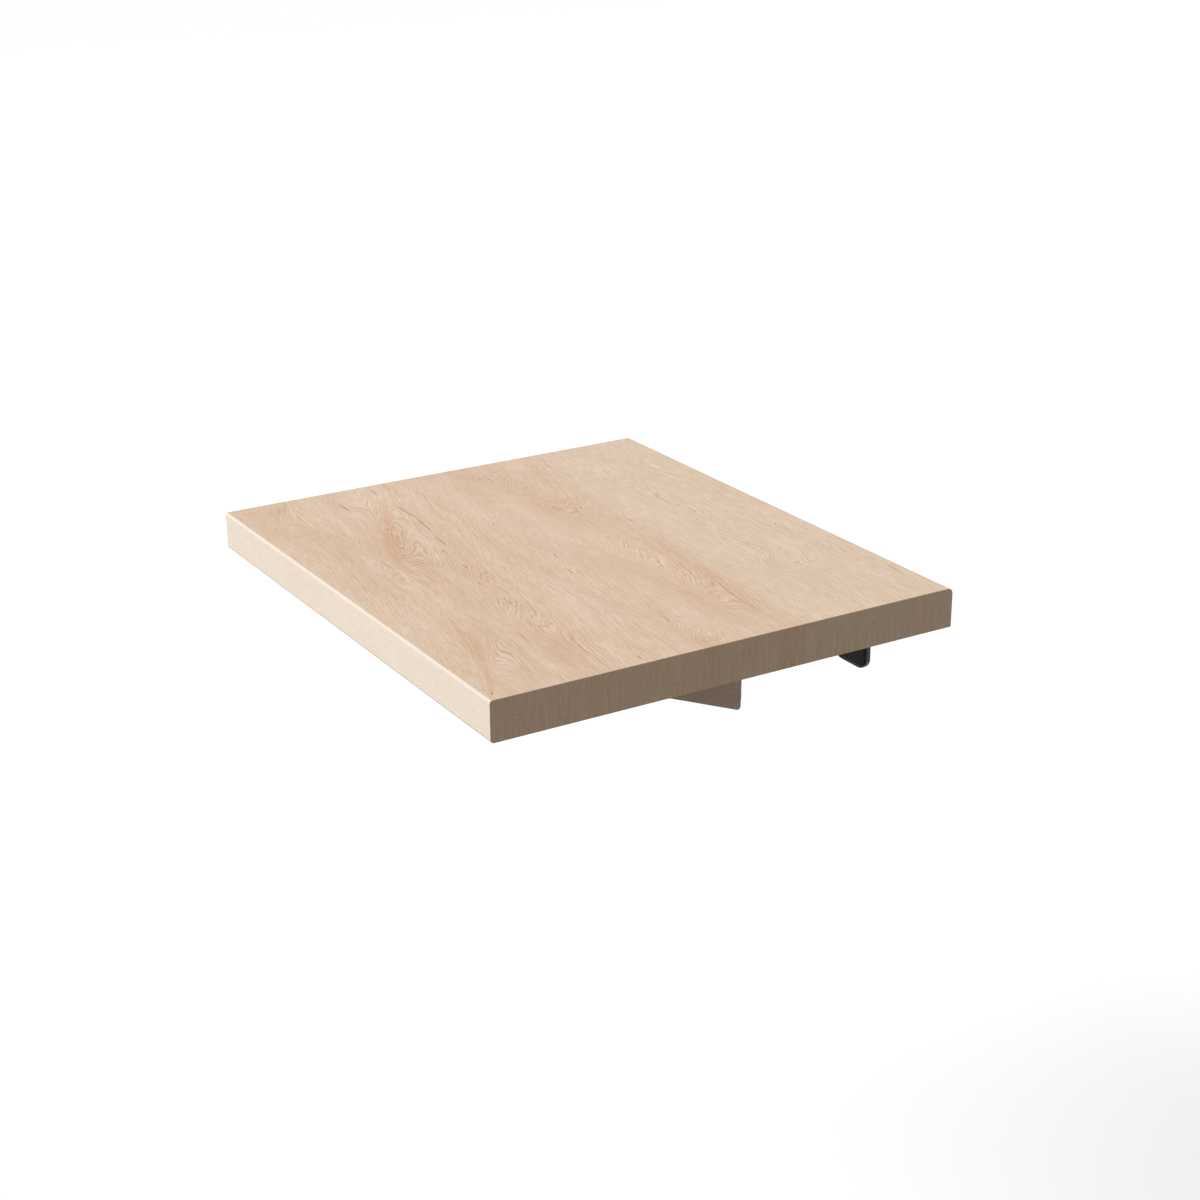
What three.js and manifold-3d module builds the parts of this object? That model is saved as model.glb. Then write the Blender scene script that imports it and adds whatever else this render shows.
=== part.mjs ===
// Floating nightstand that hangs on the side rail of a bed.
//
// A glued-up maple top lies across the rail. A tapered gusset, housed and dowelled into the underside
// of the top, bears on the rail's outer face. Two bent steel hook plates, let into the underside,
// reach down behind the rail's inner face and stop the top from tipping out.
//
// Millimetres, +Z up. The origin is on the rail seat: the middle of the top's width, the middle of the
// rail's thickness and the underside of the top. -Y points out into the room and +Y to the mattress.

import * as THREE from 'three';
import { mergeVertices } from 'three/addons/utils/BufferGeometryUtils.js';
import Module from 'manifold-3d';

const wasm = await Module();
wasm.setup();

// The rail that it hangs on
const railThickness = 25.4;
const railClearance = 0.2; // free on each face of the rail

// Top
const topWidth = 390; // along the rail
const topDepth = 340; // from the mattress out into the room
const topThickness = 27;
const mattressOverhang = 10; // how far the top reaches past the rail's inner face
const frontUpperRound = 2;
const frontLowerRound = 2.5;
const bedUpperRound = 4;
const bedLowerRound = 0.75;
const endArris = 0.25; // eased corner round the sawn ends

// Staves of the top. The joint on the bed side runs at a slight angle to the edges.
const bedStaveWide = 117.5; // at the +X end
const bedStaveNarrow = 93; // at the -X end
const frontStaveWidth = 52.5;
const outerMiddleStaveWidth = 81.5;
const glueLine = 0.05; // film in every glued joint

// Gusset, cut from the same stock as the top
const gussetDrop = 120; // below the underside, at the rail
const gussetNoseDrop = 19; // below the underside, at the nose
const gussetNoseSetBack = 45; // from the top's front edge
const gussetHeelRadius = 2.5;
const gussetNoseRadius = 9;
const gussetArris = 0.6;
const housingDepth = 6; // how far the gusset is let into the top

// Dowels between the gusset and the top
const dowelCount = 4;
const dowelDiameter = 10;
const dowelInTop = 13; // above the floor of the housing
const dowelInGusset = 25;
const firstDowelSetBack = 26; // from the gusset's back edge
const lastDowelSetBack = 50; // from the gusset's nose
const dowelEndChamfer = 1;
const dowelFluteCount = 16;
const dowelFluteDepth = 0.4;
const boreEndGap = 0.5; // room for glue at each end of a dowel

// Hook plates
const hookSpacing = 204; // between the middles of the two plates
const hookWidth = 38;
const hookThickness = 3;
const hookArm = 60; // leg let into the top, from the outside of the bend
const hookDrop = 60; // leg behind the rail, from the outside of the bend
const hookInnerBend = 1.5;
const hookArmCorner = 6.35;
const hookTipCorner = 10;
const hookArris = 0.3;
const hookSink = 0.3; // below flush, so that the wood takes the load
const pocketClearance = 0.2;

// Screws in the hook plates
const screwLength = 19;
const screwShankRadius = 2.1;
const screwHeadRadius = 4.1;
const screwHeadDepth = 2;
const screwPointLength = 4;
const screwHeadSink = 0.1; // below the plate's face
const screwClearance = 0.1;
const screwRecessDepth = 1.6;
const screwRecessSpan = 4.4;
const screwRecessSlot = 0.9;
const frontScrewSetBack = 9; // from the end of the arm
const frontScrewSpread = 20; // between the two front screws
const rearScrewSetBack = 34; // from the end of the arm

// Felt pads
const padThickness = 1;
const padCorner = 3;
const padArris = 0.3;
const hookPadMargin = 2; // steel showing round the pad
const hookPadTop = 5; // below the underside of the top
const gussetPadTop = 4; // below the underside of the top
const gussetPadMargin = 1.2; // wood showing beside the pad
const gussetPadHeelMargin = 6; // wood showing below the pad

// Places that follow from the sizes
const bedEdge = railThickness / 2 + mattressOverhang;
const frontEdge = bedEdge - topDepth;
const railFace = railThickness / 2 + railClearance;
const padBack = railFace + padThickness + glueLine;
const gussetThickness = topThickness;
const gussetBack = -padBack;
const gussetNose = frontEdge + gussetNoseSetBack;
const hookFace = padBack;
const hookOuterFace = hookFace + hookThickness;
const hookTop = hookSink + hookThickness;
const hookArmEnd = hookOuterFace - hookArm;
const hookTip = hookTop - hookDrop;
const pocketFloor = hookTop + glueLine;
const screwHeadFace = hookSink + screwHeadSink;

const arcSegments = 6;
const roundSegments = 24;
const boreSegments = 32;
const through = 50; // how far a cutter runs past what it cuts

// Materials
const maple = {
  bedSide: [0xd9c3aa, 0.5],
  innerMiddle: [0xd6bca1, 0.5],
  outerMiddle: [0xd7bca1, 0.5],
  front: [0xd5bda1, 0.5],
  gusset: [0xcdb89c, 0.52],
};
const beech = [0xcfa97c, 0.7];
const blackSteel = [0x1f2022, 0.55];
const zincSteel = [0xb9bcc0, 0.35];
const felt = [0x2b2a29, 0.95];

function finish([color, roughness], metalness = 0) {
  return new THREE.MeshStandardMaterial({ color, roughness, metalness });
}

// Turns a drawing in (Y, Z) so that its depth runs along X
const alongX = new THREE.Matrix4().makeBasis(
  new THREE.Vector3(0, 1, 0),
  new THREE.Vector3(0, 0, 1),
  new THREE.Vector3(1, 0, 0),
);

// Turns a drawing in (X, Z) so that its depth runs along -Y
const alongY = new THREE.Matrix4().makeBasis(
  new THREE.Vector3(1, 0, 0),
  new THREE.Vector3(0, 0, 1),
  new THREE.Vector3(0, -1, 0),
);

// A closed outline through corners given as [u, v, radius], counter-clockwise
function roundedOutline(corners) {
  const shape = new THREE.Shape();
  corners.forEach(([u, v, radius], i) => {
    const here = new THREE.Vector2(u, v);
    const [beforeU, beforeV] = corners[(i + corners.length - 1) % corners.length];
    const [afterU, afterV] = corners[(i + 1) % corners.length];
    const toBefore = new THREE.Vector2(beforeU, beforeV).sub(here).normalize();
    const toAfter = new THREE.Vector2(afterU, afterV).sub(here).normalize();
    const turn = toAfter.cross(toBefore);
    if (radius === 0) {
      if (i === 0) shape.moveTo(u, v);
      else shape.lineTo(u, v);
      return;
    }
    const halfAngle = Math.acos(toBefore.dot(toAfter)) / 2;
    const setBack = radius / Math.tan(halfAngle);
    const toCentre = toBefore.clone().add(toAfter).normalize();
    const centre = here.clone().addScaledVector(toCentre, radius / Math.sin(halfAngle));
    const start = here.clone().addScaledVector(toBefore, setBack).sub(centre);
    const end = here.clone().addScaledVector(toAfter, setBack).sub(centre);
    shape.absarc(centre.x, centre.y, radius, start.angle(), end.angle(), turn < 0);
  });
  shape.closePath();
  return shape;
}

function rectangle(lowU, lowV, highU, highV, radius = 0) {
  return roundedOutline([
    [lowU, lowV, radius],
    [highU, lowV, radius],
    [highU, highV, radius],
    [lowU, highV, radius],
  ]);
}

// A prism over an outline, centred on its depth, with its end corners eased by arris
function prism(outline, depth, arris = 0) {
  const geometry = new THREE.ExtrudeGeometry(outline, {
    depth: depth - 2 * arris,
    curveSegments: arcSegments,
    bevelEnabled: arris > 0,
    bevelThickness: arris,
    bevelSize: arris,
    bevelOffset: -arris,
    bevelSegments: 1,
  });
  return geometry.translate(0, 0, arris - depth / 2);
}

// A turned piece on the Z axis, from a profile of [radius, z] that runs upwards from axis to axis
function turned(profile, segments) {
  const points = profile.map(([radius, z]) => new THREE.Vector2(radius, z));
  return new THREE.LatheGeometry(points, segments).rotateX(Math.PI / 2);
}

function solidOf(geometry) {
  const bare = geometry.clone();
  bare.deleteAttribute('normal');
  bare.deleteAttribute('uv');
  const merged = mergeVertices(bare);
  const corners = merged.index.array;
  const kept = [];
  for (let i = 0; i < corners.length; i += 3) {
    const [a, b, c] = [corners[i], corners[i + 1], corners[i + 2]];
    if (a !== b && b !== c && c !== a) kept.push(a, b, c);
  }
  return new wasm.Manifold(
    new wasm.Mesh({
      numProp: 3,
      vertProperties: new Float32Array(merged.attributes.position.array),
      triVerts: new Uint32Array(kept),
    }),
  );
}

function geometryOf(solid) {
  const mesh = solid.getMesh();
  const geometry = new THREE.BufferGeometry();
  geometry.setAttribute('position', new THREE.BufferAttribute(mesh.vertProperties, 3));
  geometry.setIndex(new THREE.BufferAttribute(mesh.triVerts, 1));
  geometry.computeVertexNormals();
  return geometry;
}

// What is left of a geometry inside every shape in keep and outside every shape in remove
function machined(geometry, { keep = [], remove = [] }) {
  let solid = solidOf(geometry);
  for (const shape of keep) solid = solid.intersect(solidOf(shape));
  for (const shape of remove) solid = solid.subtract(solidOf(shape));
  return geometryOf(solid);
}

// Screw places on one hook plate, from its middle
const screwPlaces = [
  [-frontScrewSpread / 2, hookArmEnd + frontScrewSetBack],
  [frontScrewSpread / 2, hookArmEnd + frontScrewSetBack],
  [0, hookArmEnd + rearScrewSetBack],
];

const hookMiddles = { right: hookSpacing / 2, left: -hookSpacing / 2 };

// Dowel places, evenly spaced from the rail outwards
const firstDowel = gussetBack - firstDowelSetBack;
const lastDowel = gussetNose + lastDowelSetBack;
const dowelPlaces = Array.from({ length: dowelCount }, (_, i) =>
  THREE.MathUtils.lerp(firstDowel, lastDowel, i / (dowelCount - 1)),
);

// A countersunk screw's outline, from the rim of its head up to its point, larger by clearance
function screwProfile(clearance) {
  const shank = screwShankRadius + clearance;
  const tip = screwHeadFace + screwLength + clearance;
  return [
    [screwHeadRadius + clearance, screwHeadFace],
    [shank, screwHeadFace + screwHeadDepth],
    [shank, tip - screwPointLength],
    [0, tip],
  ];
}

// The hole for a screw, which runs past the plate's face at its mouth
function screwHole() {
  const profile = screwProfile(screwClearance);
  const mouth = screwHeadFace - screwHeadDepth;
  return turned([[0, mouth], [profile[0][0], mouth], ...profile], roundSegments);
}

// Whole top before it is divided into staves
function topBlank() {
  const outline = roundedOutline([
    [frontEdge, 0, frontLowerRound],
    [bedEdge, 0, bedLowerRound],
    [bedEdge, topThickness, bedUpperRound],
    [frontEdge, topThickness, frontUpperRound],
  ]);
  return prism(outline, topWidth, endArris).applyMatrix4(alongX);
}

// Housing in the underside for the gusset's upper edge
function gussetHousing() {
  const halfWidth = gussetThickness / 2 + glueLine;
  const outline = rectangle(-halfWidth, gussetNose - glueLine, halfWidth, gussetBack + glueLine);
  return prism(outline, 2 * housingDepth);
}

function dowelBore(place, low, high) {
  const radius = dowelDiameter / 2 + glueLine;
  const bore = new THREE.CylinderGeometry(radius, radius, high - low, boreSegments);
  return bore.rotateX(Math.PI / 2).translate(0, place, (low + high) / 2);
}

// Pocket in the underside for one hook plate's arm and bend
function hookPocket(middle) {
  const halfWidth = hookWidth / 2 + pocketClearance;
  const front = hookArmEnd - pocketClearance;
  const back = hookOuterFace + pocketClearance;
  const outline = roundedOutline([
    [middle - halfWidth, front, hookArmCorner],
    [middle + halfWidth, front, hookArmCorner],
    [middle + halfWidth, back, 0],
    [middle - halfWidth, back, 0],
  ]);
  return prism(outline, 2 * pocketFloor);
}

const topCuts = [
  gussetHousing(),
  ...dowelPlaces.map((place) => dowelBore(place, 0, housingDepth + dowelInTop + boreEndGap)),
  ...Object.values(hookMiddles).map(hookPocket),
  ...Object.values(hookMiddles).flatMap((middle) =>
    screwPlaces.map(([x, y]) => screwHole().translate(middle + x, y, 0)),
  ),
];

// Lines between staves, as Y at the -X end and at the +X end, from the mattress outwards
const staveLines = [
  [bedEdge + through, bedEdge + through],
  [bedEdge - bedStaveNarrow, bedEdge - bedStaveWide],
  [frontEdge + frontStaveWidth + outerMiddleStaveWidth, frontEdge + frontStaveWidth + outerMiddleStaveWidth],
  [frontEdge + frontStaveWidth, frontEdge + frontStaveWidth],
  [frontEdge - through, frontEdge - through],
];

// One stave: the part of the blank between two lines, less half a glue line at each
function stave(index) {
  const atX = (line, x) => THREE.MathUtils.mapLinear(x, -topWidth / 2, topWidth / 2, line[0], line[1]);
  const bedLine = staveLines[index];
  const frontLine = staveLines[index + 1];
  const low = -topWidth / 2 - through;
  const high = topWidth / 2 + through;
  const between = roundedOutline([
    [low, atX(frontLine, low) + glueLine / 2, 0],
    [high, atX(frontLine, high) + glueLine / 2, 0],
    [high, atX(bedLine, high) - glueLine / 2, 0],
    [low, atX(bedLine, low) - glueLine / 2, 0],
  ]);
  const slab = prism(between, 2 * (topThickness + through));
  return machined(topBlank(), { keep: [slab], remove: topCuts });
}

function gusset() {
  const top = housingDepth - glueLine;
  const outline = roundedOutline([
    [gussetBack, top, 0],
    [gussetNose, top, 0],
    [gussetNose, -gussetNoseDrop, gussetNoseRadius],
    [gussetBack, -gussetDrop, gussetHeelRadius],
  ]);
  const bores = dowelPlaces.map((place) =>
    dowelBore(place, housingDepth - dowelInGusset - boreEndGap, housingDepth + through),
  );
  const blank = prism(outline, gussetThickness, gussetArris).applyMatrix4(alongX);
  return machined(blank, { remove: bores });
}

function dowel() {
  const outline = new THREE.Shape();
  for (let i = 0; i < 2 * dowelFluteCount; i += 1) {
    const angle = (Math.PI * i) / dowelFluteCount;
    const radius = dowelDiameter / 2 - (i % 2) * dowelFluteDepth;
    const point = [radius * Math.cos(angle), radius * Math.sin(angle)];
    if (i === 0) outline.moveTo(...point);
    else outline.lineTo(...point);
  }
  outline.closePath();
  const middle = housingDepth + (dowelInTop - dowelInGusset) / 2;
  return prism(outline, dowelInTop + dowelInGusset, dowelEndChamfer).translate(0, 0, middle);
}

// A flat bar bent to an L, with rounded ends and countersunk holes in the arm
function hookPlate() {
  const section = roundedOutline([
    [hookFace, hookTip, 0],
    [hookOuterFace, hookTip, 0],
    [hookOuterFace, hookTop, hookInnerBend + hookThickness],
    [hookArmEnd, hookTop, 0],
    [hookArmEnd, hookSink, 0],
    [hookFace, hookSink, hookInnerBend],
  ]);
  const halfWidth = hookWidth / 2;
  const planOutline = roundedOutline([
    [-halfWidth, hookArmEnd, hookArmCorner],
    [halfWidth, hookArmEnd, hookArmCorner],
    [halfWidth, hookOuterFace + through, 0],
    [-halfWidth, hookOuterFace + through, 0],
  ]);
  const elevationOutline = roundedOutline([
    [-halfWidth, hookTip, hookTipCorner],
    [halfWidth, hookTip, hookTipCorner],
    [halfWidth, hookTop + through, 0],
    [-halfWidth, hookTop + through, 0],
  ]);
  const bar = prism(section, hookWidth, hookArris).applyMatrix4(alongX);
  const plan = prism(planOutline, 2 * (hookDrop + through));
  const elevation = prism(elevationOutline, 2 * (hookArm + through)).applyMatrix4(alongY);
  const holes = screwPlaces.map(([x, y]) => screwHole().translate(x, y, 0));
  return machined(bar, { keep: [plan, elevation], remove: holes });
}

function screw() {
  const blank = turned([[0, screwHeadFace], ...screwProfile(0)], roundSegments);
  const blade = [screwRecessSpan, screwRecessSlot, 2 * screwRecessDepth];
  const slots = [0, Math.PI / 2].map((angle) =>
    new THREE.BoxGeometry(...blade).rotateZ(angle).translate(0, 0, screwHeadFace),
  );
  return machined(blank, { remove: slots });
}

function hookPad() {
  const halfWidth = hookWidth / 2 - hookPadMargin;
  const outline = rectangle(-halfWidth, hookTip + hookPadMargin, halfWidth, -hookPadTop, padCorner);
  return prism(outline, padThickness, padArris)
    .applyMatrix4(alongY)
    .translate(0, railFace + padThickness / 2, 0);
}

function gussetPad() {
  const halfWidth = gussetThickness / 2 - gussetPadMargin;
  const outline = rectangle(
    -halfWidth,
    gussetPadHeelMargin - gussetDrop,
    halfWidth,
    -gussetPadTop,
    padCorner,
  );
  return prism(outline, padThickness, padArris)
    .applyMatrix4(alongY)
    .translate(0, -railFace - padThickness / 2, 0);
}

const nightstand = new THREE.Group();

function add(name, geometry, material, x = 0, y = 0) {
  const mesh = new THREE.Mesh(geometry, material);
  mesh.name = name;
  mesh.position.set(x, y, 0);
  nightstand.add(mesh);
}

add('top_stave_bed_side', stave(0), finish(maple.bedSide));
add('top_stave_inner_middle', stave(1), finish(maple.innerMiddle));
add('top_stave_outer_middle', stave(2), finish(maple.outerMiddle));
add('top_stave_front', stave(3), finish(maple.front));
add('gusset', gusset(), finish(maple.gusset));
dowelPlaces.forEach((place, i) => add(`gusset_dowel_${i + 1}`, dowel(), finish(beech), 0, place));
add('gusset_rail_pad', gussetPad(), finish(felt));

for (const [side, middle] of Object.entries(hookMiddles)) {
  add(`hook_plate_${side}`, hookPlate(), finish(blackSteel, 0.2), middle);
  add(`hook_pad_${side}`, hookPad(), finish(felt), middle);
  screwPlaces.forEach(([x, y], i) =>
    add(`hook_screw_${side}_${i + 1}`, screw(), finish(zincSteel, 1), middle + x, y),
  );
}

export default nightstand;
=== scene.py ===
"""Looks of the floating nightstand: maple, beech, steel and felt over its solids, in metres."""

import math
from collections import namedtuple

import bmesh
import bpy
from mathutils import Matrix, Vector, noise


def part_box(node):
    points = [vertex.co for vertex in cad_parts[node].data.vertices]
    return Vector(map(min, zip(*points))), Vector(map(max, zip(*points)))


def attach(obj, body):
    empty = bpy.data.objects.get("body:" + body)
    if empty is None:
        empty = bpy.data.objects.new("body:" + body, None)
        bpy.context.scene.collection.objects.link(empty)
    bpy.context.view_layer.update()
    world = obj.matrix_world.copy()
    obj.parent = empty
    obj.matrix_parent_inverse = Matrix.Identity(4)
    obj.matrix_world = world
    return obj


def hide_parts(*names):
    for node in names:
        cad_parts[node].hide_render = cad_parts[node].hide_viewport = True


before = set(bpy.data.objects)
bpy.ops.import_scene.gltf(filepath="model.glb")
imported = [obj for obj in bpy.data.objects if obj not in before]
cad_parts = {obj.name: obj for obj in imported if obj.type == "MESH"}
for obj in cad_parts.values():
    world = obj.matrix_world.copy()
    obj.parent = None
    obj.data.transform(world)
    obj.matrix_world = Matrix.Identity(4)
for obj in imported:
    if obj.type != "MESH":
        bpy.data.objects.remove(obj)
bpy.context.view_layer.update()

# Camera, which stands where the photograph was taken from
CAMERA_PLACE = Vector((1.2139, -0.8619, 0.5374))
CAMERA_HEADING = math.radians(148.740)
CAMERA_DIP = math.radians(21.261)
CAMERA_ROLL = math.radians(-0.311)
CAMERA_LENS = 66.37
CAMERA_NEAR = 0.05
CAMERA_FAR = 50.0
SENSOR_WIDTH = 36.0

# Light: a low soft key from the far outer side, and a dim even sky
KEY_FROM = Vector((-1.5, -1.3, 1.0))
KEY_STRENGTH = 4.4
KEY_SPREAD = math.radians(40.0)
KEY_COLOUR = (1.0, 0.985, 0.96)
SKY_LEVEL = 0.4
SKY_COLOUR = (0.97, 0.985, 1.0, 1.0)
WHITE = (1.0, 1.0, 1.0, 1.0)

# Floor, at about its real distance below the top
FLOOR_HEIGHT = -0.39
FLOOR_HALF = 6.0
FLOOR_SEEN = (0.65, 0.65, 0.65, 1.0)
FLOOR_GLOW = 0.4
FLOOR_BOUNCE = (0.12, 0.12, 0.12, 1.0)

MM = 0.001


def make_camera():
    """Aims the camera by heading, dip and roll."""
    level = Vector((math.cos(CAMERA_HEADING), math.sin(CAMERA_HEADING), 0.0))
    ahead = level * math.cos(CAMERA_DIP) - Vector((0.0, 0.0, math.sin(CAMERA_DIP)))
    right = ahead.cross(Vector((0.0, 0.0, 1.0))).normalized()
    up = right.cross(ahead)
    rolled_right = right * math.cos(CAMERA_ROLL) + up * math.sin(CAMERA_ROLL)
    rolled_up = up * math.cos(CAMERA_ROLL) - right * math.sin(CAMERA_ROLL)
    data = bpy.data.cameras.new("camera")
    data.sensor_width = SENSOR_WIDTH
    data.lens = CAMERA_LENS
    data.clip_start = CAMERA_NEAR
    data.clip_end = CAMERA_FAR
    camera = bpy.data.objects.new("camera", data)
    turn = Matrix((rolled_right, rolled_up, -ahead)).transposed()
    camera.matrix_world = Matrix.Translation(CAMERA_PLACE) @ turn.to_4x4()
    bpy.context.scene.collection.objects.link(camera)
    bpy.context.scene.camera = camera


def seen_directly(tree):
    """1 for rays from the camera, a mirror or glass, and 0 for rays that only carry light."""
    path = tree.nodes.new("ShaderNodeLightPath")
    first = tree.nodes.new("ShaderNodeMath")
    first.operation = "MAXIMUM"
    tree.links.new(path.outputs["Is Camera Ray"], first.inputs[0])
    tree.links.new(path.outputs["Is Glossy Ray"], first.inputs[1])
    second = tree.nodes.new("ShaderNodeMath")
    second.operation = "MAXIMUM"
    tree.links.new(first.outputs[0], second.inputs[0])
    tree.links.new(path.outputs["Is Transmission Ray"], second.inputs[1])
    return second.outputs[0]


def make_light():
    """The key lamp, and a world that looks white and lights dimly."""
    lamp = bpy.data.lights.new("key", "SUN")
    lamp.energy = KEY_STRENGTH
    lamp.angle = KEY_SPREAD
    lamp.color = KEY_COLOUR
    key = bpy.data.objects.new("key", lamp)
    key.rotation_mode = "QUATERNION"
    key.rotation_quaternion = KEY_FROM.to_track_quat("Z", "Y")
    bpy.context.scene.collection.objects.link(key)
    world = bpy.data.worlds.new("studio")
    world.use_nodes = True
    tree = world.node_tree
    tree.nodes.clear()
    dim = tree.nodes.new("ShaderNodeBackground")
    dim.inputs["Color"].default_value = SKY_COLOUR
    dim.inputs["Strength"].default_value = SKY_LEVEL
    white = tree.nodes.new("ShaderNodeBackground")
    white.inputs["Color"].default_value = WHITE
    white.inputs["Strength"].default_value = 1.0
    either = tree.nodes.new("ShaderNodeMixShader")
    tree.links.new(seen_directly(tree), either.inputs["Fac"])
    tree.links.new(dim.outputs[0], either.inputs[1])
    tree.links.new(white.outputs[0], either.inputs[2])
    out = tree.nodes.new("ShaderNodeOutputWorld")
    tree.links.new(either.outputs[0], out.inputs["Surface"])
    bpy.context.scene.world = world


def make_floor():
    """A plain pale floor that keeps the shadow and throws little light back up."""
    mesh = bpy.data.meshes.new("floor")
    signs = ((-1, -1), (1, -1), (1, 1), (-1, 1))
    corners = [(x * FLOOR_HALF, y * FLOOR_HALF, FLOOR_HEIGHT) for x, y in signs]
    mesh.from_pydata(corners, [], [(0, 1, 2, 3)])
    floor = bpy.data.objects.new("floor", mesh)
    bpy.context.scene.collection.objects.link(floor)
    material = bpy.data.materials.new("floor")
    material.use_nodes = True
    tree = material.node_tree
    tree.nodes.clear()
    bounce = tree.nodes.new("ShaderNodeBsdfDiffuse")
    bounce.inputs["Color"].default_value = FLOOR_BOUNCE
    pale = tree.nodes.new("ShaderNodeBsdfDiffuse")
    pale.inputs["Color"].default_value = FLOOR_SEEN
    glow = tree.nodes.new("ShaderNodeEmission")
    glow.inputs["Color"].default_value = WHITE
    glow.inputs["Strength"].default_value = FLOOR_GLOW
    both = tree.nodes.new("ShaderNodeAddShader")
    tree.links.new(pale.outputs[0], both.inputs[0])
    tree.links.new(glow.outputs[0], both.inputs[1])
    either = tree.nodes.new("ShaderNodeMixShader")
    tree.links.new(seen_directly(tree), either.inputs["Fac"])
    tree.links.new(bounce.outputs[0], either.inputs[1])
    tree.links.new(both.outputs[0], either.inputs[2])
    out = tree.nodes.new("ShaderNodeOutputMaterial")
    tree.links.new(either.outputs[0], out.inputs["Surface"])
    mesh.materials.append(material)


# A noise: its reach along three axes in metres, and its detail, roughness and distortion
Pattern = namedtuple("Pattern", "lengths detail roughness distortion", defaults=(0.0,))

# How strongly a darker tone takes away red, green and blue
TONE_SHARES = (0.66, 1.0, 1.25)


class Graph:
    """One material's node graph. Each method adds a node and gives back its output."""

    def __init__(self, name):
        self.material = bpy.data.materials.new(name)
        self.material.use_nodes = True
        self.tree = self.material.node_tree
        self.tree.nodes.clear()

    def node(self, kind, inputs, **settings):
        made = self.tree.nodes.new(kind)
        for key, value in settings.items():
            setattr(made, key, value)
        for key, value in inputs.items():
            if isinstance(value, bpy.types.NodeSocket):
                self.tree.links.new(value, made.inputs[key])
            else:
                made.inputs[key].default_value = value
        return made

    def math(self, operation, *values):
        return self.node("ShaderNodeMath", dict(enumerate(values)), operation=operation).outputs[0]

    def add(self, a, b):
        return self.math("ADD", a, b)

    def subtract(self, a, b):
        return self.math("SUBTRACT", a, b)

    def times(self, a, b):
        return self.math("MULTIPLY", a, b)

    def over(self, a, b):
        return self.math("DIVIDE", a, b)

    def square(self, value):
        return self.times(value, value)

    def size_of(self, value):
        return self.math("ABSOLUTE", value)

    def highest(self, values):
        """The largest of several outputs, or 0 where there is none."""
        best = 0.0
        for value in values:
            best = self.math("MAXIMUM", best, value)
        return best

    def step(self, value, start, end, low=0.0, high=1.0):
        """Goes smoothly from low at start to high at end."""
        inputs = {"Value": value, "From Min": start, "From Max": end, "To Min": low, "To Max": high}
        return self.node("ShaderNodeMapRange", inputs, interpolation_type="SMOOTHSTEP").outputs["Result"]

    def spread(self, value, low, high):
        """Turns 0 to 1 into low to high."""
        return self.math("MULTIPLY_ADD", value, high - low, low)

    def vector(self, x, y, z):
        return self.node("ShaderNodeCombineXYZ", {"X": x, "Y": y, "Z": z}).outputs[0]

    def parts(self, vector):
        return tuple(self.node("ShaderNodeSeparateXYZ", {"Vector": vector}).outputs)

    def stretch(self, vector, lengths, shift):
        """Scales a place so that the three lengths become 1, then moves it."""
        factors = tuple(1.0 / length for length in lengths)
        inputs = {0: vector, 1: factors, 2: shift}
        return self.node("ShaderNodeVectorMath", inputs, operation="MULTIPLY_ADD").outputs[0]

    def noise(self, place, pattern, shift=(0.0, 0.0, 0.0)):
        """A noise from 0 to 1, with its middle near 0.5."""
        inputs = {
            "Vector": self.stretch(place, pattern.lengths, shift),
            "Scale": 1.0,
            "Detail": pattern.detail,
            "Roughness": pattern.roughness,
            "Distortion": pattern.distortion,
        }
        return self.node("ShaderNodeTexNoise", inputs).outputs["Fac"]

    def cells(self, place, lengths, shift=(0.0, 0.0, 0.0)):
        """Cells of about the three lengths. Distance is from a cell's middle, and Color differs by cell."""
        inputs = {"Vector": self.stretch(place, lengths, shift), "Scale": 1.0}
        return self.node("ShaderNodeTexVoronoi", inputs)

    def random(self, value):
        return self.node("ShaderNodeTexWhiteNoise", {"W": value}, noise_dimensions="1D").outputs["Value"]

    def opaque(self, colour):
        """Gives a colour of three numbers its fourth, and leaves an output as it is."""
        return colour if isinstance(colour, bpy.types.NodeSocket) else (*colour, 1.0)

    def mix(self, share, first, second, blend="MIX"):
        """Blends two colours, each an output or three numbers."""
        # The node's colours are its inputs 6 and 7 and its output 2
        inputs = {0: share, 6: self.opaque(first), 7: self.opaque(second)}
        return self.node("ShaderNodeMix", inputs, data_type="RGBA", blend_type=blend).outputs[2]

    def brighten(self, colour, factor):
        """Multiplies a colour by a plain number."""
        inputs = {0: colour, "Scale": factor}
        return self.node("ShaderNodeVectorMath", inputs, operation="SCALE").outputs[0]

    def shade(self, colour, tone):
        """Multiplies a colour by a tone near 1. Darker wood turns browner and paler wood creamier."""
        factors = (self.math("MULTIPLY_ADD", tone, share, 1.0 - share) for share in TONE_SHARES)
        inputs = {0: colour, 1: self.vector(*factors)}
        return self.node("ShaderNodeVectorMath", inputs, operation="MULTIPLY").outputs[0]

    def bump(self, height, distance, strength=1.0):
        inputs = {"Height": height, "Distance": distance, "Strength": strength}
        return self.node("ShaderNodeBump", inputs).outputs[0]

    def finish(self, **surface):
        """Joins the principled shader to the output and gives back the material."""
        inputs = {key.replace("_", " "): value for key, value in surface.items()}
        shader = self.node("ShaderNodeBsdfPrincipled", inputs)
        out = self.node("ShaderNodeOutputMaterial", {})
        self.tree.links.new(shader.outputs[0], out.inputs["Surface"])
        return self.material


# A board. grain names the axes along its length, width and thickness. lean is the slope of its grain
# in the middle of its length, and curve is how fast that slope changes, per metre. ring_gap and wave are
# in millimetres, lines is the strength of the ring lines, and shift sets its patterns off from the others'.
Board = namedtuple(
    "Board",
    "grain pale tan lean curve ring_gap wave lines shift swells patches clear flecks cream_front",
)
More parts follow.
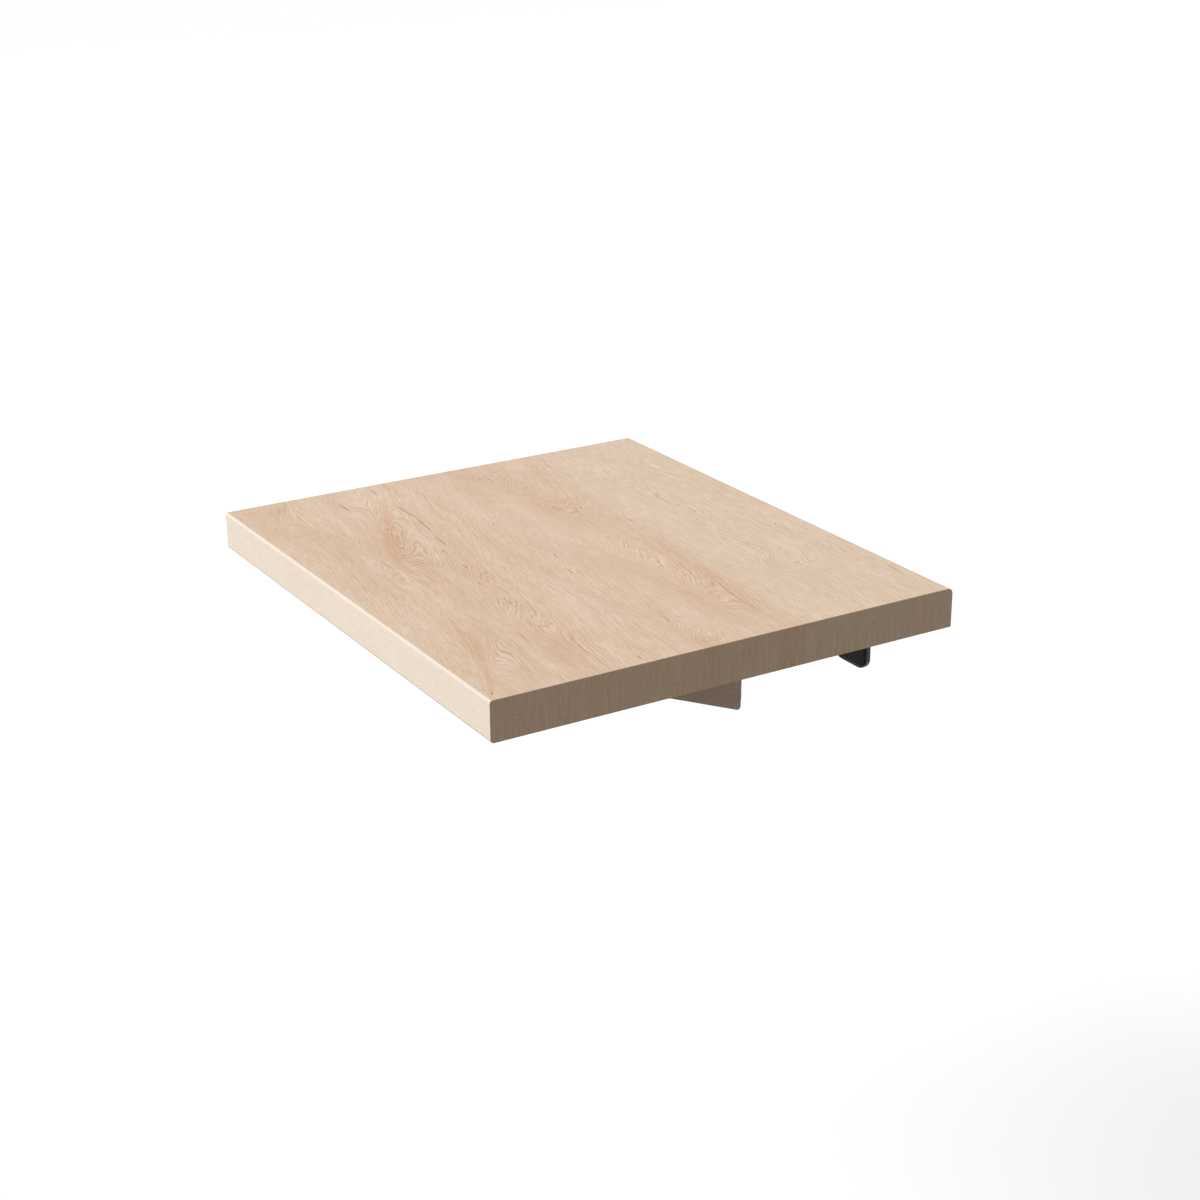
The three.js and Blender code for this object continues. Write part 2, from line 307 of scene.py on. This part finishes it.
# Swells, patches and flecks are placed along and across a board, in millimetres.
# A place where the rings bulge, so that the saw leaves nested arches: middle, half sizes, slope and height
Swell = namedtuple("Swell", "along across half_length half_width slope rise")
# A reddish patch of heartwood or a clear patch of sapwood: middle, half sizes, slope and strength
Patch = namedtuple("Patch", "along across half_length half_width slope strength")
# A thin brown fleck: middle, half length, half width and slope
Fleck = namedtuple("Fleck", "along across half_length half_width slope")

HEARTWOOD = (0.60, 0.36, 0.215)
SAPWOOD = (0.745, 0.60, 0.485)
RING_LINE = (0.525, 0.31, 0.185)
RED_LINE = (0.46, 0.215, 0.12)
FLECK_BROWN = (0.34, 0.155, 0.075)
PORE_BROWN = (0.42, 0.26, 0.15)
END_TINT = (1.06, 1.02, 0.96)
END_GREY = (0.66, 0.50, 0.377)
CREAM = (0.76, 0.65, 0.55)
# Painted shade on the front stave's round corners, which the key light hits more fully than either face
ROUNDED_PAINTED_SHADE = (0.80, 0.83, 0.87)

# The patterns of the maple, along, across and through a board
SLOW_WAVE = Pattern((0.13, 0.034, 0.04), 2.0, 0.4)
QUICK_WAVE = Pattern((0.02, 0.005, 0.007), 3.0, 0.6)
LINE_FADE = Pattern((0.07, 0.022, 0.03), 2.0, 0.5)
ZONE = Pattern((0.09, 0.026, 0.04), 3.0, 0.55)
MOTTLE = Pattern((0.013, 0.006, 0.008), 2.0, 0.5)
STREAK = Pattern((0.05, 0.0017, 0.003), 3.0, 0.6)
FIBRE = Pattern((0.013, 0.00055, 0.0011), 2.0, 0.65)
END_BEND = Pattern((0.05, 0.014, 0.011), 2.0, 0.5)
END_RAY = Pattern((0.05, 0.00065, 0.03), 2.0, 0.7)
PORE_CELL = (0.0058, 0.0011, 0.0012)

# What a value from 0 to 1 is turned into: tones, shares and the roughness of the lacquer
FIBRE_TONE = (0.6, 1.4)
STREAK_TONE = (0.91, 1.09)
MOTTLE_TONE = (0.94, 1.06)
END_RAY_TONE = (0.64, 1.36)
END_MOTTLE_TONE = (0.97, 1.03)
FADED_SHARE = (0.6, 1.0)
FACE_RING_SHARE = (0.45, 1.0)
END_RING_SHARE = (0.1, 1.0)
HEART_SHARE = (0.3, 0.8)
END_GREY_SHARE = (0.45, 0.95)
LACQUER_ROUGHNESS = (0.5, 0.62)

# Where smooth steps start and where they are full
ZONE_STEP = (0.25, 0.75)
END_ZONE_STEP = (0.3, 0.7)
FADE_STEP = (0.36, 0.62)
RING_RISE = (0.4, 0.88)
RING_FALL = (1.0, 0.92)
PATCH_STEP = (1.05, 0.25)
PORE_STEP = (0.36, 0.1)
PORE_CHANCE = (0.55, 0.95)
END_FACING = (0.7, 0.95)
CREAM_FACING = (0.1, 0.6)
# Where the painted shade on the front stave's round corners starts and ends, by how far a surface faces out
CORNER_SHADE_RISE = (0.05, 0.5)
CORNER_SHADE_FALL = (1.0, 0.9)

# How far the rings tilt through the thickness of a board, and lean on its end
RING_TILT = 0.45
END_RING_LEAN = 0.2
# The share of a board's waves that is quick, and how far such waves push its swells about
QUICK_SHARE = 0.15
SWELL_STRAY_ALONG = 15.0 * MM
SWELL_STRAY_ACROSS = -4.0 * MM
# The rings on an end, and how far they bend
END_RING_GAP = 3.2 * MM
END_BEND_DEPTH = 30.0 * MM
# How ragged quick waves and streaks make the rim of a patch
RAGGED_BY_WAVES = 1.6
RAGGED_BY_STREAKS = 0.9
# How far a fleck's soft edge reaches to either side of its half width, and where its points start
FLECK_EDGE_OUT = 0.25 * MM
FLECK_EDGE_IN = 0.15 * MM
FLECK_POINT_START = 0.2
# How strongly each mark covers the wood under it
HEART_LINES = 0.45
PORE_SHARE = 0.5
FLECK_SHARE = 0.75
END_HEART = 0.35
END_LINES = 0.46
CREAM_LINES = 0.14
CREAM_TONE_SHARE = 0.5
# The relief that shows through the lacquer, and its shine
FIBRE_HEIGHT = 0.6
LINE_HEIGHT = -0.4
MAPLE_RELIEF = 0.05 * MM
MAPLE_RELIEF_STRENGTH = 0.5
LINE_ROUGHNESS = 0.05
LACQUER_SPECULAR = 0.35


class Maple(Graph):
    """Maple cut from its own log: rings, fibres, heartwood, flecks and end grain."""

    def __init__(self, name, board):
        super().__init__(name)
        self.board = board
        coords = self.node("ShaderNodeTexCoord", {})
        axes = dict(zip("XYZ", self.parts(coords.outputs["Object"])))
        self.facing = dict(zip("XYZ", self.parts(coords.outputs["Normal"])))
        self.along, self.across, self.through = (axes[letter] for letter in board.grain)
        self.place = self.vector(self.along, self.across, self.through)

        quick = self.own_noise(self.place, QUICK_WAVE)
        self.stray = self.subtract(quick, 0.5)
        self.depth = self.ring_depth(quick)
        self.flow = self.vector(self.along, self.depth, self.through)
        self.line = self.face_lines()

        self.zone = self.own_noise(self.place, ZONE)
        self.mottle = self.own_noise(self.place, MOTTLE)
        self.streak = self.own_noise(self.flow, STREAK)
        self.fibre = self.own_noise(self.flow, FIBRE)
        tone = self.times(self.spread(self.fibre, *FIBRE_TONE), self.spread(self.streak, *STREAK_TONE))
        self.tone = self.times(tone, self.spread(self.mottle, *MOTTLE_TONE))

        ragged = self.times(self.stray, RAGGED_BY_WAVES)
        self.ragged = self.add(ragged, self.times(self.subtract(self.streak, 0.5), RAGGED_BY_STREAKS))
        self.heart = self.highest(self.in_patch(patch) for patch in board.patches)
        self.line_colour = self.mix(self.heart, RING_LINE, RED_LINE)

    def own_noise(self, place, pattern):
        """A noise that differs from board to board."""
        return self.noise(place, pattern, self.board.shift)

    def spot_distance(self, along, across, spot):
        """How far a place is from the middle of a sloping oval, where 1 is its rim."""
        dx = self.subtract(along, spot.along * MM)
        dy = self.subtract(self.subtract(across, spot.across * MM), self.times(dx, spot.slope))
        u = self.square(self.over(dx, spot.half_length * MM))
        v = self.square(self.over(dy, spot.half_width * MM))
        return self.math("SQRT", self.add(u, v))

    def in_swell(self, along, across, swell):
        """The height of a smooth dome over an oval, in metres."""
        far = self.spot_distance(along, across, swell)
        dome = self.math("EXPONENT", self.times(self.square(far), -1.0))
        return self.times(dome, swell.rise * MM)

    def in_patch(self, patch):
        """1 in the middle of a patch and 0 outside, with a ragged edge."""
        far = self.spot_distance(self.along, self.across, patch)
        return self.step(self.add(far, self.ragged), *PATCH_STEP, 0.0, patch.strength)

    def in_fleck(self, fleck):
        """1 on a thin dash with pointed ends and 0 off it."""
        dx = self.subtract(self.along, fleck.along * MM)
        dy = self.subtract(self.subtract(self.across, fleck.across * MM), self.times(dx, fleck.slope))
        half_length = fleck.half_length * MM
        half_width = fleck.half_width * MM
        taper = self.step(self.size_of(dx), half_length, FLECK_POINT_START * half_length)
        inside = self.step(self.size_of(dy), half_width + FLECK_EDGE_OUT, half_width - FLECK_EDGE_IN)
        return self.times(inside, taper)

    def ring_depth(self, quick):
        """The depth in the log, which leans with the grain and is bent by waves and by the swells."""
        board = self.board
        slope = self.math("MULTIPLY_ADD", self.along, board.curve, board.lean)
        slow = self.own_noise(self.place, SLOW_WAVE)
        depth = self.add(self.across, self.times(self.along, slope))
        depth = self.add(depth, self.times(self.through, RING_TILT))
        depth = self.add(depth, self.times(slow, board.wave * MM))
        depth = self.add(depth, self.times(quick, QUICK_SHARE * board.wave * MM))
        along = self.add(self.along, self.times(self.stray, SWELL_STRAY_ALONG))
        across = self.add(self.across, self.times(self.stray, SWELL_STRAY_ACROSS))
        for swell in board.swells:
            depth = self.add(depth, self.in_swell(along, across, swell))
        return depth

    def ring_lines(self, depth, gap, shares):
        """Thin dark lines at even steps of depth, each darker or paler than the next."""
        count = self.over(depth, gap)
        phase = self.math("FRACT", count)
        ring = self.random(self.math("FLOOR", count))
        late = self.times(self.step(phase, *RING_RISE), self.step(phase, *RING_FALL))
        return self.times(late, self.spread(self.square(ring), *shares))

    def face_lines(self):
        """Ring lines on the long faces, which fade in and out."""
        fade = self.step(self.own_noise(self.place, LINE_FADE), *FADE_STEP)
        lines = self.ring_lines(self.depth, self.board.ring_gap * MM, FACE_RING_SHARE)
        return self.times(lines, self.spread(fade, *FADED_SHARE))

    def pores(self):
        """Short pores that follow the rings, strong in a few cells and absent in most."""
        cells = self.cells(self.flow, PORE_CELL, self.board.shift)
        chance = self.parts(cells.outputs["Color"])[0]
        near = self.step(cells.outputs["Distance"], *PORE_STEP)
        return self.times(near, self.step(chance, *PORE_CHANCE))

    def face_colour(self):
        """Pale and tan zones, heartwood, clear sapwood, ring lines, pores and flecks."""
        board = self.board
        colour = self.mix(self.step(self.zone, *ZONE_STEP), board.pale, board.tan)
        heart_share = self.times(self.heart, self.spread(self.streak, *HEART_SHARE))
        colour = self.mix(heart_share, colour, HEARTWOOD)
        clear = self.highest(self.in_patch(patch) for patch in board.clear)
        colour = self.mix(clear, colour, SAPWOOD)
        line_share = self.times(self.line, self.add(board.lines, self.times(self.heart, HEART_LINES)))
        colour = self.mix(line_share, colour, self.line_colour)
        colour = self.shade(colour, self.tone)
        colour = self.mix(self.times(self.pores(), PORE_SHARE), colour, PORE_BROWN)
        marks = self.highest(self.in_fleck(fleck) for fleck in board.flecks)
        return self.mix(self.times(marks, FLECK_SHARE), colour, FLECK_BROWN)

    def end_colour(self):
        """End grain: rings that stand through the thickness and fine rays between them."""
        bend = self.own_noise(self.place, END_BEND)
        stand = self.add(self.across, self.times(self.through, END_RING_LEAN))
        stand = self.add(stand, self.times(bend, END_BEND_DEPTH))
        line = self.ring_lines(stand, END_RING_GAP, END_RING_SHARE)
        grey = self.step(self.zone, *END_ZONE_STEP, *END_GREY_SHARE)
        colour = self.mix(grey, self.board.tan, END_GREY)
        colour = self.mix(self.times(self.heart, END_HEART), colour, HEARTWOOD)
        colour = self.mix(self.times(line, END_LINES), colour, self.line_colour)
        colour = self.mix(1.0, colour, END_TINT, "MULTIPLY")
        ray = self.own_noise(self.place, END_RAY)
        tone = self.times(self.spread(ray, *END_RAY_TONE), self.spread(self.mottle, *END_MOTTLE_TONE))
        return self.shade(colour, tone)

    def with_cream_front(self, colour):
        """Turns the narrow outer face of the front stave into paler quarter grain, and paints shade on its
        round corners.
        """
        tilt = self.times(self.facing["Y"], -1.0)
        cream = self.mix(self.times(self.line, CREAM_LINES), CREAM, RING_LINE)
        tone = self.math("MULTIPLY_ADD", self.tone, CREAM_TONE_SHARE, 1.0 - CREAM_TONE_SHARE)
        cream = self.brighten(cream, tone)
        colour = self.mix(self.step(tilt, *CREAM_FACING), colour, cream)
        # Painted shade: the round corners are darkened and greyed to hold back the key light, which falls
        # on them more fully than on either face
        corner = self.times(self.step(tilt, *CORNER_SHADE_RISE), self.step(tilt, *CORNER_SHADE_FALL))
        return self.mix(corner, colour, ROUNDED_PAINTED_SHADE, "MULTIPLY")


def maple(name, board):
    """Maple under a thin satin lacquer, which lets its fibres and ring lines be felt."""
    wood = Maple(name, board)
    end = wood.step(wood.size_of(wood.facing[board.grain[0]]), *END_FACING)
    colour = wood.mix(end, wood.face_colour(), wood.end_colour())
    if board.cream_front:
        colour = wood.with_cream_front(colour)
    height = wood.add(wood.times(wood.fibre, FIBRE_HEIGHT), wood.times(wood.line, LINE_HEIGHT))
    roughness = wood.spread(wood.streak, *LACQUER_ROUGHNESS)
    return wood.finish(
        Base_Color=colour,
        Roughness=wood.add(roughness, wood.times(wood.line, LINE_ROUGHNESS)),
        Specular_IOR_Level=LACQUER_SPECULAR,
        Normal=wood.bump(height, MAPLE_RELIEF, MAPLE_RELIEF_STRENGTH),
    )


# Beech
BEECH_GRAIN = Pattern((0.0009, 0.0009, 0.03), 3.0, 0.6)
BEECH_RAY_CELL = (0.0007, 0.0007, 0.0028)
BEECH_RAY_STEP = (0.35, 0.15)
BEECH_RAY_SHARE = 0.45
BEECH_DARK = (0.50, 0.30, 0.15)
BEECH_PALE = (0.70, 0.47, 0.27)
BEECH_RAY_BROWN = (0.30, 0.15, 0.07)
BEECH_ROUGHNESS = 0.7
BEECH_RELIEF = 0.1 * MM

# Powder coat
COAT_PEEL = Pattern((0.0007, 0.0007, 0.0007), 2.0, 0.5)
COAT_CLOUD = Pattern((0.03, 0.03, 0.03), 2.0, 0.5)
COAT_DARK = (0.012, 0.012, 0.013)
COAT_PALE = (0.022, 0.022, 0.024)
COAT_ROUGHNESS = (0.34, 0.5)
COAT_RELIEF = 0.05 * MM

# Zinc plating
ZINC_HAZE = Pattern((0.0016, 0.0016, 0.0016), 3.0, 0.6)
ZINC_BLUE = (0.42, 0.45, 0.49)
ZINC_PALE = (0.62, 0.63, 0.63)
ZINC_ROUGHNESS = (0.22, 0.42)
ZINC_RELIEF = 0.02 * MM

# Felt
FELT_MAT = Pattern((0.0011, 0.0004, 0.0011), 4.0, 0.7, 1.5)
FELT_STRAY = Pattern((0.0004, 0.0004, 0.0031), 3.0, 0.6, 2.0)
FELT_MAT_STEP = (0.3, 0.7)
FELT_STRAY_STEP = (0.62, 0.75)
FELT_DARK = (0.012, 0.012, 0.012)
FELT_PALE = (0.045, 0.043, 0.042)
FELT_STRAY_GREY = (0.12, 0.115, 0.11)
FELT_ROUGHNESS = 0.95
FELT_SHEEN = 0.35
FELT_RELIEF = 0.3 * MM


def beech(name):
    """Raw beech dowel: straight grain along its length and short brown ray flecks."""
    graph = Graph(name)
    place = graph.node("ShaderNodeTexCoord", {}).outputs["Object"]
    grain = graph.noise(place, BEECH_GRAIN)
    rays = graph.cells(place, BEECH_RAY_CELL)
    ray = graph.step(rays.outputs["Distance"], *BEECH_RAY_STEP)
    colour = graph.mix(grain, BEECH_DARK, BEECH_PALE)
    colour = graph.mix(graph.times(ray, BEECH_RAY_SHARE), colour, BEECH_RAY_BROWN)
    normal = graph.bump(grain, BEECH_RELIEF)
    return graph.finish(Base_Color=colour, Roughness=BEECH_ROUGHNESS, Normal=normal)


def powder_coat(name):
    """Satin black powder coat with a fine orange-peel skin."""
    graph = Graph(name)
    place = graph.node("ShaderNodeTexCoord", {}).outputs["Object"]
    peel = graph.noise(place, COAT_PEEL)
    cloud = graph.noise(place, COAT_CLOUD)
    colour = graph.mix(cloud, COAT_DARK, COAT_PALE)
    roughness = graph.spread(cloud, *COAT_ROUGHNESS)
    normal = graph.bump(peel, COAT_RELIEF)
    return graph.finish(Base_Color=colour, Roughness=roughness, Normal=normal)


def zinc(name):
    """Bright zinc plating with a faint mottled haze."""
    graph = Graph(name)
    place = graph.node("ShaderNodeTexCoord", {}).outputs["Object"]
    haze = graph.noise(place, ZINC_HAZE)
    colour = graph.mix(haze, ZINC_BLUE, ZINC_PALE)
    roughness = graph.spread(haze, *ZINC_ROUGHNESS)
    normal = graph.bump(haze, ZINC_RELIEF)
    return graph.finish(Base_Color=colour, Metallic=1.0, Roughness=roughness, Normal=normal)


def felt(name):
    """Charcoal wool felt: matted fibres with lighter strays."""
    graph = Graph(name)
    place = graph.node("ShaderNodeTexCoord", {}).outputs["Object"]
    mat = graph.noise(place, FELT_MAT)
    stray = graph.noise(place, FELT_STRAY)
    colour = graph.mix(graph.step(mat, *FELT_MAT_STEP), FELT_DARK, FELT_PALE)
    colour = graph.mix(graph.step(stray, *FELT_STRAY_STEP), colour, FELT_STRAY_GREY)
    return graph.finish(
        Base_Color=colour,
        Roughness=FELT_ROUGHNESS,
        Sheen_Weight=FELT_SHEEN,
        Normal=graph.bump(mat, FELT_RELIEF),
    )


# Vertices closer than this are one, and edges sharper than this stay sharp
WELD_GAP = 0.002 * MM
SHARP_ANGLE = math.radians(32.0)
# How far the larger faces rule the shading at their corners, where 50 is evenly
LARGE_FACE_WEIGHT = 100


def smooth(node):
    """Shades a solid's rounded edges smoothly and leaves its flat faces flat."""
    mesh = node.data
    with bpy.context.temp_override(object=node, active_object=node, mesh=mesh):
        bpy.ops.mesh.customdata_custom_splitnormals_clear()
    mesh.shade_smooth()
    weld = node.modifiers.new("weld", "WELD")
    weld.merge_threshold = WELD_GAP
    split = node.modifiers.new("split", "EDGE_SPLIT")
    split.split_angle = SHARP_ANGLE
    weigh = node.modifiers.new("weigh", "WEIGHTED_NORMAL")
    weigh.weight = LARGE_FACE_WEIGHT


def dress(node_name, material):
    """Gives a solid its material and its smooth edges."""
    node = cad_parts[node_name]
    node.data.materials.clear()
    node.data.materials.append(material)
    smooth(node)


BOARDS = {
    "top_stave_bed_side": Board(
        grain="XYZ",
        pale=(0.711, 0.563, 0.427),
        tan=(0.685, 0.536, 0.4),
        lean=0.05,
        curve=0.0,
        ring_gap=2.0,
        wave=14.0,
        lines=0.72,
        shift=(3.1, 7.4, 1.2),
        swells=[
            Swell(40.0, -54.0, 55.0, 13.0, -0.06, 9.0),
            Swell(104.0, -45.0, 15.0, 26.0, 0.0, 14.0),
            Swell(-60.0, -45.0, 70.0, 12.0, 0.05, 8.0),
            Swell(-120.0, -10.0, 50.0, 12.0, -0.1, 10.0),
        ],
        patches=[],
        clear=[
            Patch(67.0, -15.0, 16.0, 10.0, -0.3, 0.4),
            Patch(165.0, -78.0, 30.0, 9.0, -0.05, 0.35),
            Patch(20.0, -72.0, 40.0, 7.0, -0.05, 0.3),
        ],
        flecks=[Fleck(147.0, 13.0, 16.0, 0.3, -0.12), Fleck(32.5, -1.3, 2.6, 0.5, -0.35)],
        cream_front=False,
    ),
    "top_stave_inner_middle": Board(
        grain="XYZ",
        pale=(0.726, 0.561, 0.427),
        tan=(0.654, 0.474, 0.345),
        lean=0.17,
        curve=-0.34,
        ring_gap=1.8,
        wave=12.0,
        lines=0.80,
        shift=(9.3, 2.8, 5.5),
        swells=[
            Swell(-88.0, -120.0, 38.0, 16.0, 0.1, 26.0),
            Swell(-172.0, -132.0, 24.0, 10.0, 0.3, 14.0),
            Swell(196.0, -163.5, 30.0, 11.0, 0.05, 17.0),
            Swell(58.0, -125.0, 55.0, 13.0, -0.08, 8.0),
            Swell(128.0, -118.0, 30.0, 9.0, -0.1, 12.0),
        ],
        patches=[
            Patch(95.0, -101.0, 120.0, 11.0, -0.066, 0.55),
            Patch(110.0, -122.0, 60.0, 16.0, 0.05, 0.35),
            Patch(-88.0, -117.0, 44.0, 22.0, 0.05, 0.4),
            Patch(-178.0, -136.0, 26.0, 9.0, 0.35, 0.45),
            Patch(188.0, -165.0, 24.0, 11.0, 0.1, 0.5),
            Patch(190.0, -104.0, 44.0, 13.0, -0.066, 0.4),
        ],
        clear=[
            Patch(-172.0, -96.0, 34.0, 10.0, -0.3, 0.4),
            Patch(150.0, -150.0, 30.0, 10.0, -0.1, 0.3),
            Patch(-30.0, -150.0, 60.0, 10.0, -0.12, 0.3),
        ],
        flecks=[
            Fleck(-160.0, -122.5, 10.0, 0.3, -0.05),
            Fleck(-27.5, -82.8, 4.0, 0.45, -0.1),
            Fleck(-6.0, -115.5, 5.0, 0.3, -0.02),
            Fleck(38.0, -170.5, 7.0, 0.35, -0.12),
            Fleck(7.0, -164.0, 6.0, 0.3, -0.2),
            Fleck(142.0, -163.0, 9.0, 0.3, -0.12),
            Fleck(-72.0, -168.0, 3.5, 0.4, -0.2),
        ],
        cream_front=False,
    ),
    "top_stave_outer_middle": Board(
        grain="XYZ",
        pale=(0.731, 0.561, 0.427),
        tan=(0.654, 0.474, 0.345),
        lean=0.2,
        curve=-0.25,
        ring_gap=1.8,
        wave=12.0,
        lines=0.86,
        shift=(5.7, 1.3, 8.8),
        swells=[
            Swell(-74.0, -243.0, 62.0, 11.0, -0.36, 22.0),
            Swell(21.0, -226.0, 14.0, 5.0, -0.1, 9.0),
            Swell(-167.0, -238.0, 26.0, 13.0, -0.1, 20.0),
            Swell(110.0, -240.0, 42.0, 10.0, 0.02, 11.0),
        ],
        patches=[
            Patch(140.0, -243.0, 62.0, 18.0, 0.0, 0.5),
            Patch(-50.0, -246.0, 85.0, 15.0, -0.14, 0.5),
            Patch(-76.0, -244.0, 64.0, 11.0, -0.36, 1.0),
            Patch(-130.0, -222.0, 36.0, 6.0, -0.28, 0.6),
        ],
        clear=[
            Patch(100.0, -191.0, 62.0, 12.0, 0.0, 0.5),
            Patch(-148.0, -190.0, 56.0, 12.0, -0.2, 0.6),
            Patch(-70.0, -221.0, 36.0, 9.0, -0.15, 0.45),
            Patch(-140.0, -244.0, 18.0, 10.0, 0.0, 0.4),
        ],
        flecks=[
            Fleck(-60.0, -215.5, 14.0, 0.35, -0.12),
            Fleck(-97.0, -209.8, 19.0, 0.4, -0.12),
            Fleck(-128.0, -207.8, 23.0, 0.45, -0.01),
            Fleck(-180.0, -208.3, 10.0, 0.5, -0.04),
            Fleck(-159.0, -241.4, 14.0, 0.5, 0.01),
            Fleck(-7.0, -225.0, 5.5, 0.5, 0.0),
            Fleck(-42.0, -223.2, 2.5, 0.5, 0.0),
            Fleck(66.0, -232.0, 5.0, 0.4, -0.03),
            Fleck(26.0, -232.3, 4.0, 0.4, -0.05),
            Fleck(122.0, -253.6, 11.0, 0.35, -0.08),
            Fleck(-101.0, -235.8, 2.0, 0.8, -0.3),
            Fleck(186.0, -210.5, 5.0, 0.35, -0.2),
        ],
        cream_front=False,
    ),
    "top_stave_front": Board(
        grain="XYZ",
        pale=(0.721, 0.556, 0.417),
        tan=(0.649, 0.479, 0.345),
        lean=0.16,
        curve=0.1,
        ring_gap=1.6,
        wave=9.0,
        lines=0.84,
        shift=(1.9, 6.6, 3.7),
        swells=[
            Swell(150.0, -290.0, 36.0, 9.0, -0.55, 9.0),
            Swell(-10.0, -276.0, 25.0, 7.0, -0.05, 8.0),
            Swell(-138.0, -305.0, 10.0, 4.0, -0.2, 8.0),
            Swell(-150.0, -288.0, 40.0, 10.0, -0.15, 9.0),
        ],
        patches=[
            Patch(118.0, -287.0, 52.0, 9.0, -0.26, 0.65),
            Patch(168.0, -303.0, 26.0, 3.0, -0.42, 0.7),
            Patch(-178.0, -285.0, 24.0, 12.0, -0.3, 0.5),
            Patch(-20.0, -270.0, 60.0, 5.0, -0.02, 0.4),
        ],
        clear=[
            Patch(150.0, -281.0, 26.0, 11.0, -0.6, 0.5),
            Patch(-40.0, -274.0, 30.0, 9.0, -0.1, 0.5),
            Patch(60.0, -300.0, 50.0, 10.0, -0.1, 0.25),
        ],
        flecks=[
            Fleck(186.0, -311.0, 2.2, 0.6, -0.4),
            Fleck(-36.0, -267.5, 14.0, 0.3, 0.0),
        ],
        cream_front=True,
    ),
    "gusset": Board(
        grain="YZX",
        pale=(0.65, 0.512, 0.38),
        tan=(0.555, 0.415, 0.30),
        lean=0.1,
        curve=0.0,
        ring_gap=2.0,
        wave=9.0,
        lines=0.55,
        shift=(7.7, 4.1, 2.3),
        swells=[],
        patches=[],
        clear=[],
        flecks=[],
        cream_front=False,
    ),
}


def rounded_corners(width, height, corner, steps):
    """Points round a rectangle with round corners, centred on zero."""
    points = []
    for turn, (sx, sy) in enumerate(((1, 1), (-1, 1), (-1, -1), (1, -1))):
        for step in range(steps + 1):
            angle = math.radians(90.0 * (turn + step / steps))
            x = sx * (width / 2 - corner) + corner * math.cos(angle)
            y = sy * (height / 2 - corner) + corner * math.sin(angle)
            points.append((x, y))
    return points


# Felt pads: how far the edge is drawn in at each depth through the pad, and the corners
FELT_EDGE = 0.35 * MM
FELT_PROFILE = ((0.0, 1.0), (0.3, 0.3), (0.5, 0.0), (0.7, 0.3), (1.0, 1.0))
FELT_CORNER = 3.0 * MM
FELT_CORNER_STEPS = 6
# The spacing of the points on the pads' faces, and the depth and width of the dimples
FELT_STEP = 1.5 * MM
FELT_DIMPLE = 0.14 * MM
FELT_DIMPLE_WIDTH = 3.5 * MM
# How far out, as a share of half the thickness, a point must be to lie on a face
FELT_FACE_START = 0.9
CUT_TOLERANCE = 0.001 * MM


def cut_into_squares(form, low, high):
    """Cuts a pad by evenly spaced planes, so that its faces have points to move."""
    for axis in (0, 2):
        span = high[axis] - low[axis]
        count = round(span / FELT_STEP)
        normal = Vector((0.0, 0.0, 0.0))
        normal[axis] = 1.0
        for i in range(1, count):
            place = normal * (low[axis] + span * i / count)
            everything = [*form.verts, *form.edges, *form.faces]
            bmesh.ops.bisect_plane(
                form,
                geom=everything,
                dist=CUT_TOLERANCE,
                plane_co=place,
                plane_no=normal,
            )


def press_dimples(form, middle, half):
    """Presses shallow, uneven dimples into both faces of a pad."""
    for vert in form.verts:
        side = vert.co.y - middle
        if abs(side) > FELT_FACE_START * half:
            dent = FELT_DIMPLE * (0.5 + 0.5 * noise.noise(vert.co / FELT_DIMPLE_WIDTH))
            vert.co.y -= math.copysign(dent, side)


def pad_form(low, high):
    """The closed form of a pad that fills a box, with its thickness along Y."""
    size = high - low
    middle = (low + high) / 2
    outline = rounded_corners(size.x, size.z, FELT_CORNER, FELT_CORNER_STEPS)
    form = bmesh.new()
    rings = []
    for depth, inset in FELT_PROFILE:
        shrink = inset * FELT_EDGE
        y = low.y + depth * size.y
        ring = []
        for x, z in outline:
            x_share = (abs(x) - shrink) / abs(x)
            z_share = (abs(z) - shrink) / abs(z)
            ring.append(form.verts.new((middle.x + x * x_share, y, middle.z + z * z_share)))
        rings.append(ring)
    count = len(outline)
    for lower, upper in zip(rings, rings[1:]):
        for i in range(count):
            j = (i + 1) % count
            form.faces.new((lower[i], lower[j], upper[j], upper[i]))
    form.faces.new(rings[0][::-1])
    form.faces.new(rings[-1])
    cut_into_squares(form, low, high)
    press_dimples(form, middle.y, size.y / 2)
    bmesh.ops.recalc_face_normals(form, faces=form.faces)
    return form


def felt_pad(node_name, material):
    """A die-cut pad of felt with soft edges and uneven faces, where its plain solid lies."""
    form = pad_form(*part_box(node_name))
    mesh = bpy.data.meshes.new(node_name + "_felt")
    form.to_mesh(mesh)
    form.free()
    mesh.shade_smooth()
    mesh.materials.append(material)
    pad = bpy.data.objects.new(node_name + "_felt", mesh)
    bpy.context.scene.collection.objects.link(pad)
    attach(pad, "root")
    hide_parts(node_name)


make_camera()
make_light()
make_floor()
bpy.context.scene.view_settings.view_transform = "Standard"

for board_name, board in BOARDS.items():
    dress(board_name, maple(board_name.replace("top_stave", "maple"), board))
black_steel = powder_coat("black_powder_coat")
bright_zinc = zinc("bright_zinc")
raw_beech = beech("raw_beech")
wool_felt = felt("wool_felt")
for node_name in sorted(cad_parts):
    if node_name.startswith("gusset_dowel"):
        dress(node_name, raw_beech)
    elif node_name.startswith("hook_plate"):
        dress(node_name, black_steel)
    elif node_name.startswith("hook_screw"):
        dress(node_name, bright_zinc)
    elif node_name.endswith("_pad") or node_name.startswith("hook_pad"):
        felt_pad(node_name, wool_felt)
